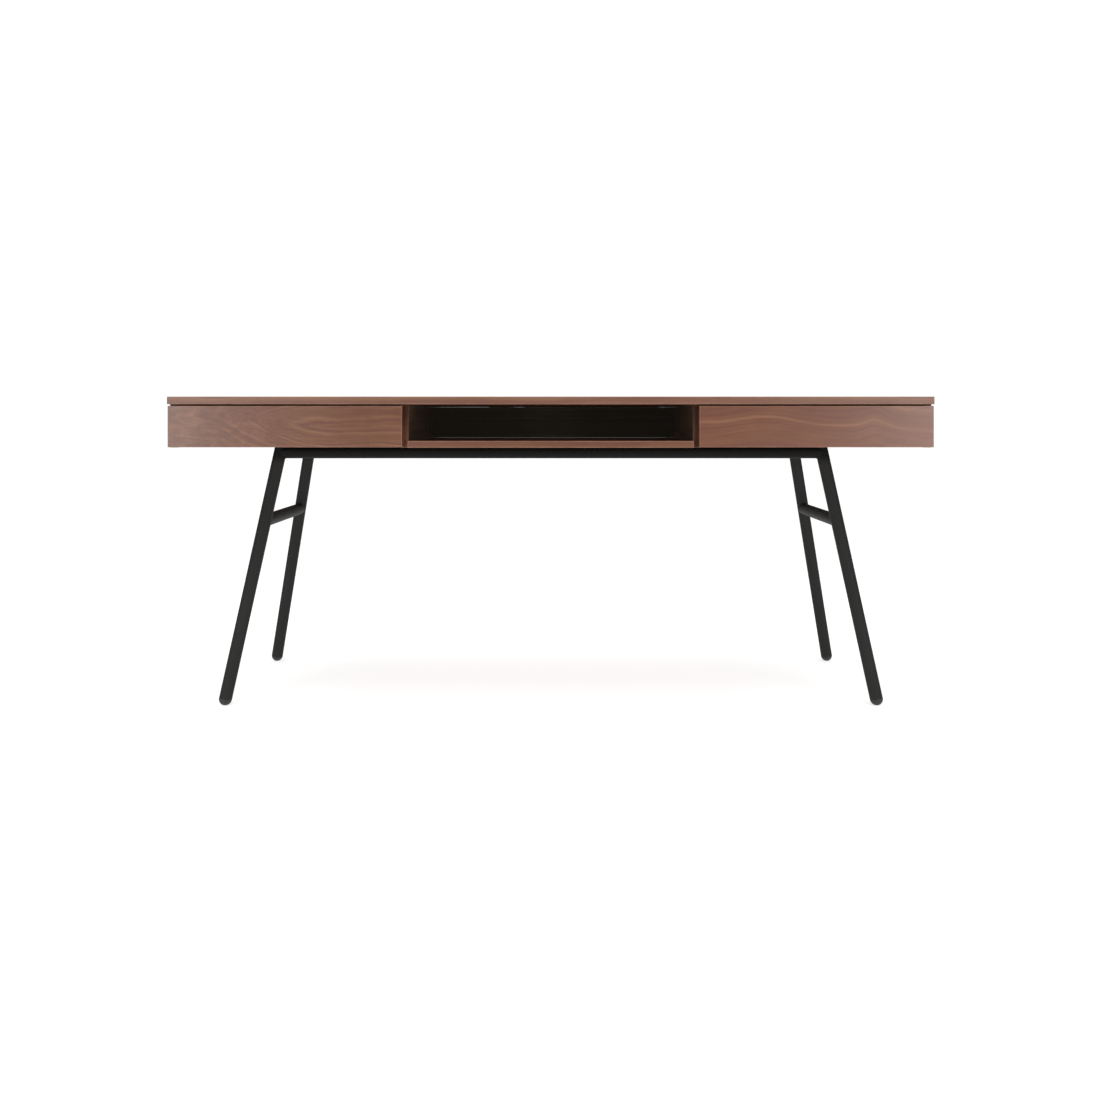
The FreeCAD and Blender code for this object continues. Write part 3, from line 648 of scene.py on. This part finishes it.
def add_welds(coat):
    """Small fillet welds round the ends of the rails and crossbars, under the coat."""
    for side, sign in SIDES.items():
        mesh = bmesh.new()
        bar = middle(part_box(side + "_crossbar"))
        bar_start = Vector((bar.x, 0.0, bar.z))
        for end, towards in (("front", -1), ("rear", 1)):
            foot, along, top = leg_axis(side, end)
            sweep_ring(mesh, *weld_loop(bar_start, Vector((0, towards, 0)), foot, along))
            rail_start = Vector((0.0, top.y, top.z))
            points, normals, radii = weld_loop(rail_start, Vector((sign, 0, 0)), foot, along)
            for point in points:
                point.z = min(point.z, RAIL_HIGH.z - WELD_TO_CASE)
            sweep_ring(mesh, points, normals, radii)
        add_mesh(side + "_welds", mesh, coat, "desk")


def add_ball(mesh, centre):
    made = bmesh.ops.create_icosphere(mesh, subdivisions=2, radius=BALL_RADIUS)
    bmesh.ops.translate(mesh, vec=centre, verts=made["verts"])


def add_strip(mesh, low, high):
    """A flat strip of the cage, between two corners."""
    made = bmesh.ops.create_cube(mesh, size=1.0)
    size, centre = high - low, (high + low) / 2
    for vert in made["verts"]:
        vert.co = Vector((vert.co.x * size.x, vert.co.y * size.y, vert.co.z * size.z)) + centre


def add_ball_cages(steel):
    """The caged balls on each middle rail's edges, seen when a drawer is out."""
    for side in SIDES:
        mesh = bmesh.new()
        for place in ("outer", "inner"):
            low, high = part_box("%s_%s_slide_mid_rail" % (side, place))
            x_mid = (low.x + high.x) / 2
            count = int((high.y - low.y - BALLS_SHORTER) / BALL_PITCH)
            for edge, inwards in ((low.z, 1), (high.z, -1)):
                z_low, z_high = sorted((edge + inwards * CAGE_NEAR, edge + inwards * CAGE_FAR))
                add_strip(mesh, Vector((x_mid - CAGE_OUTER, low.y + CAGE_FRONT, z_low)),
                          Vector((x_mid - CAGE_INNER, high.y - CAGE_REAR, z_high)))
                for i in range(count):
                    ball_y = low.y + FIRST_BALL + i * BALL_PITCH
                    add_ball(mesh, Vector((x_mid, ball_y, (z_low + z_high) / 2)))
        add_mesh(side + "_ball_cages", mesh, steel, side + "_mid_rails")


# ======================================================================
# floor, light and camera
# ======================================================================

def add_floor():
    """Pale floor, lit a little from below like a light table, that fades into the white surround."""
    g = Graph("floor_paint")
    grain = g.noise(g.position, (40.0, 40.0, 40.0), 3.0)
    g.set("Base Color", g.noisy_ramp(grain, 0.3, [(0.0, (0.90, 0.90, 0.90)), (1.0, (0.94, 0.94, 0.94))]))
    g.set("Roughness", g.math("MULTIPLY_ADD", grain, 0.04, 0.85))
    g.set("Specular IOR Level", 0.1)
    g.set("Emission Color", (1.0, 1.0, 1.0, 1.0))
    g.set("Emission Strength", 0.63)
    g.set("Alpha", g.range(g.vmath("LENGTH", g.position), 2.0, 4.2, 1.0, 0.0))
    mesh = bmesh.new()
    bmesh.ops.create_circle(mesh, cap_ends=True, segments=96, radius=4.4)
    data = bpy.data.meshes.new("floor")
    mesh.to_mesh(data)
    mesh.free()
    data.materials.append(g.material)
    floor = bpy.data.objects.new("floor", data)
    bpy.context.collection.objects.link(floor)


def add_world():
    """White surround for the camera, and a softer grey one for what it lights."""
    world = bpy.data.worlds.new("surround")
    world.use_nodes = True
    tree = world.node_tree
    tree.nodes.clear()
    out = tree.nodes.new("ShaderNodeOutputWorld")
    mix = tree.nodes.new("ShaderNodeMixShader")
    rays = tree.nodes.new("ShaderNodeLightPath")
    tree.links.new(rays.outputs["Is Camera Ray"], mix.inputs[0])
    shades = (((0.97, 0.985, 1.0, 1.0), 0.30), ((1.0, 1.0, 1.0, 1.0), 1.05))
    for place, (colour, strength) in enumerate(shades, start=1):
        shade = tree.nodes.new("ShaderNodeBackground")
        shade.inputs["Color"].default_value = colour
        shade.inputs["Strength"].default_value = strength
        tree.links.new(shade.outputs[0], mix.inputs[place])
    tree.links.new(mix.outputs[0], out.inputs[0])
    bpy.context.scene.world = world


def add_softbox(name, at, towards, width, height, radiance):
    light = bpy.data.lights.new(name, "AREA")
    light.shape = "RECTANGLE"
    light.size = width
    light.size_y = height
    light.energy = radiance * width * height * math.pi
    lamp = bpy.data.objects.new(name, light)
    lamp.location = at
    lamp.rotation_euler = (Vector(towards) - Vector(at)).to_track_quat("-Z", "Y").to_euler()
    lamp.visible_camera = False
    bpy.context.collection.objects.link(lamp)


def add_lights():
    """A wide soft light overhead, and a softbox at each side at drawer height, the right one stronger."""
    add_softbox("overhead", (0.0, -0.3, 3.0), (0.0, 0.0, 0.0), 5.0, 4.0, 1.00)
    radiance = {"left": 9.6, "right": 10.6}
    for side, sign in SIDES.items():
        add_softbox(side + "_box", (2.35 * sign, -3.1, 0.74), (0.4 * sign, -0.3, 0.69), 1.05, 1.15,
                    radiance[side])


def add_camera():
    """Level camera in front of the desk, at about the height of the drawers."""
    data = bpy.data.cameras.new("camera")
    data.sensor_width = 36.0
    data.lens = CAMERA_LENS
    data.shift_x, data.shift_y = CAMERA_SHIFT
    camera = bpy.data.objects.new("camera", data)
    camera.location = CAMERA_AT
    camera.rotation_euler = (math.radians(90.0), 0.0, 0.0)
    bpy.context.collection.objects.link(camera)
    bpy.context.scene.camera = camera


bpy.context.scene.view_settings.view_transform = "Standard"
paint_case()
paint_drawer_boxes()
black_coat, bright_steel = paint_hardware()
add_welds(black_coat)
add_ball_cages(bright_steel)
add_floor()
add_world()
add_lights()
add_camera()
